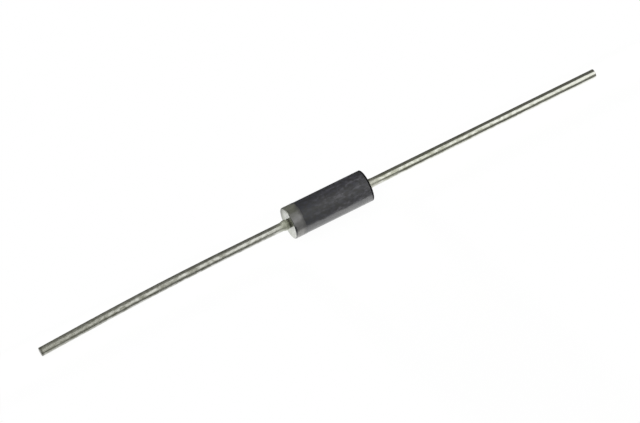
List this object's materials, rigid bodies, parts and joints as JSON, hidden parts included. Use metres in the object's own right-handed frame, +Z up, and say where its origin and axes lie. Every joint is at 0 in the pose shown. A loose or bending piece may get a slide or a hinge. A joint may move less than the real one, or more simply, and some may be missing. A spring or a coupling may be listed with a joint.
{
  "type": "zener diode",
  "caption": "Axial zener diode: dark moulded cylinder with a grey band at its cathode end and long tinned wire leads, the cathode's gently bent. It holds a steady reverse voltage.",
  "frame": {"origin": "middle of the moulded case, on its axis", "axes": "+X along the case's axis from the banded cathode end towards the anode lead, +Z up from the surface that the diode lies on"},
  "size_m": [0.0629, 0.0034, 0.0034],
  "materials": {
    "case_epoxy": "satin moulded epoxy, dark grey",
    "band_ink": "grey printed ink",
    "tinned_wire": "tinned copper wire, drawn and slightly dulled",
    "chip_silicon": "sawn silicon",
    "solder": "dull solder",
    "coating_silicone": "cured white silicone"
  },
  "bodies": {
    "root": {"moulded_case": "case_epoxy", "cathode_band": "band_ink", "cathode_lead": "tinned_wire", "anode_lead": "tinned_wire", "zener_chip": "chip_silicon", "cathode_solder": "solder", "anode_solder": "solder", "junction_coating": "coating_silicone"}
  },
  "joints": []
}
